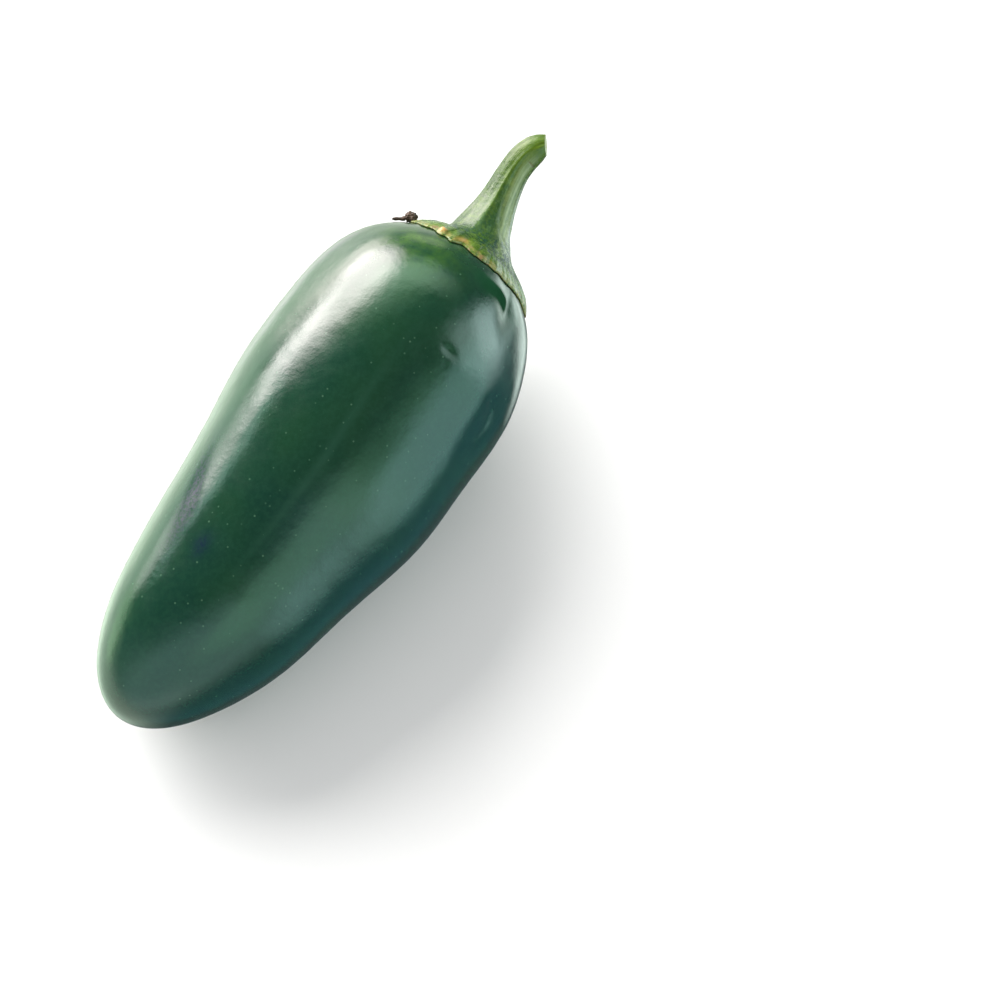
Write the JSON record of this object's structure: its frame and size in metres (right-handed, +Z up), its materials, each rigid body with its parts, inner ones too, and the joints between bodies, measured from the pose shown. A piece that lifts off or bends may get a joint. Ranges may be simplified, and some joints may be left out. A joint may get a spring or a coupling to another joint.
{
  "type": "chilli pepper",
  "caption": "Fresh green chilli pepper lying on its side: blunt, tapered, glossy pod with a ragged calyx and a curved stem, cut off at a slant.",
  "frame": {"origin": "centre of the bounding box seen from above, at the height of the surface it rests on", "axes": "+X runs along the pod from its tip to the stem, +Y is the pod's left with the stem ahead, +Z is up as it lies"},
  "size_m": [0.095, 0.034, 0.0348],
  "materials": {
    "pod_skin": "waxy, glossy skin",
    "stem_green": "satin green stem and calyx"
  },
  "bodies": {
    "root": {"pod": "pod_skin", "calyx_with_stem": "stem_green"}
  },
  "joints": []
}
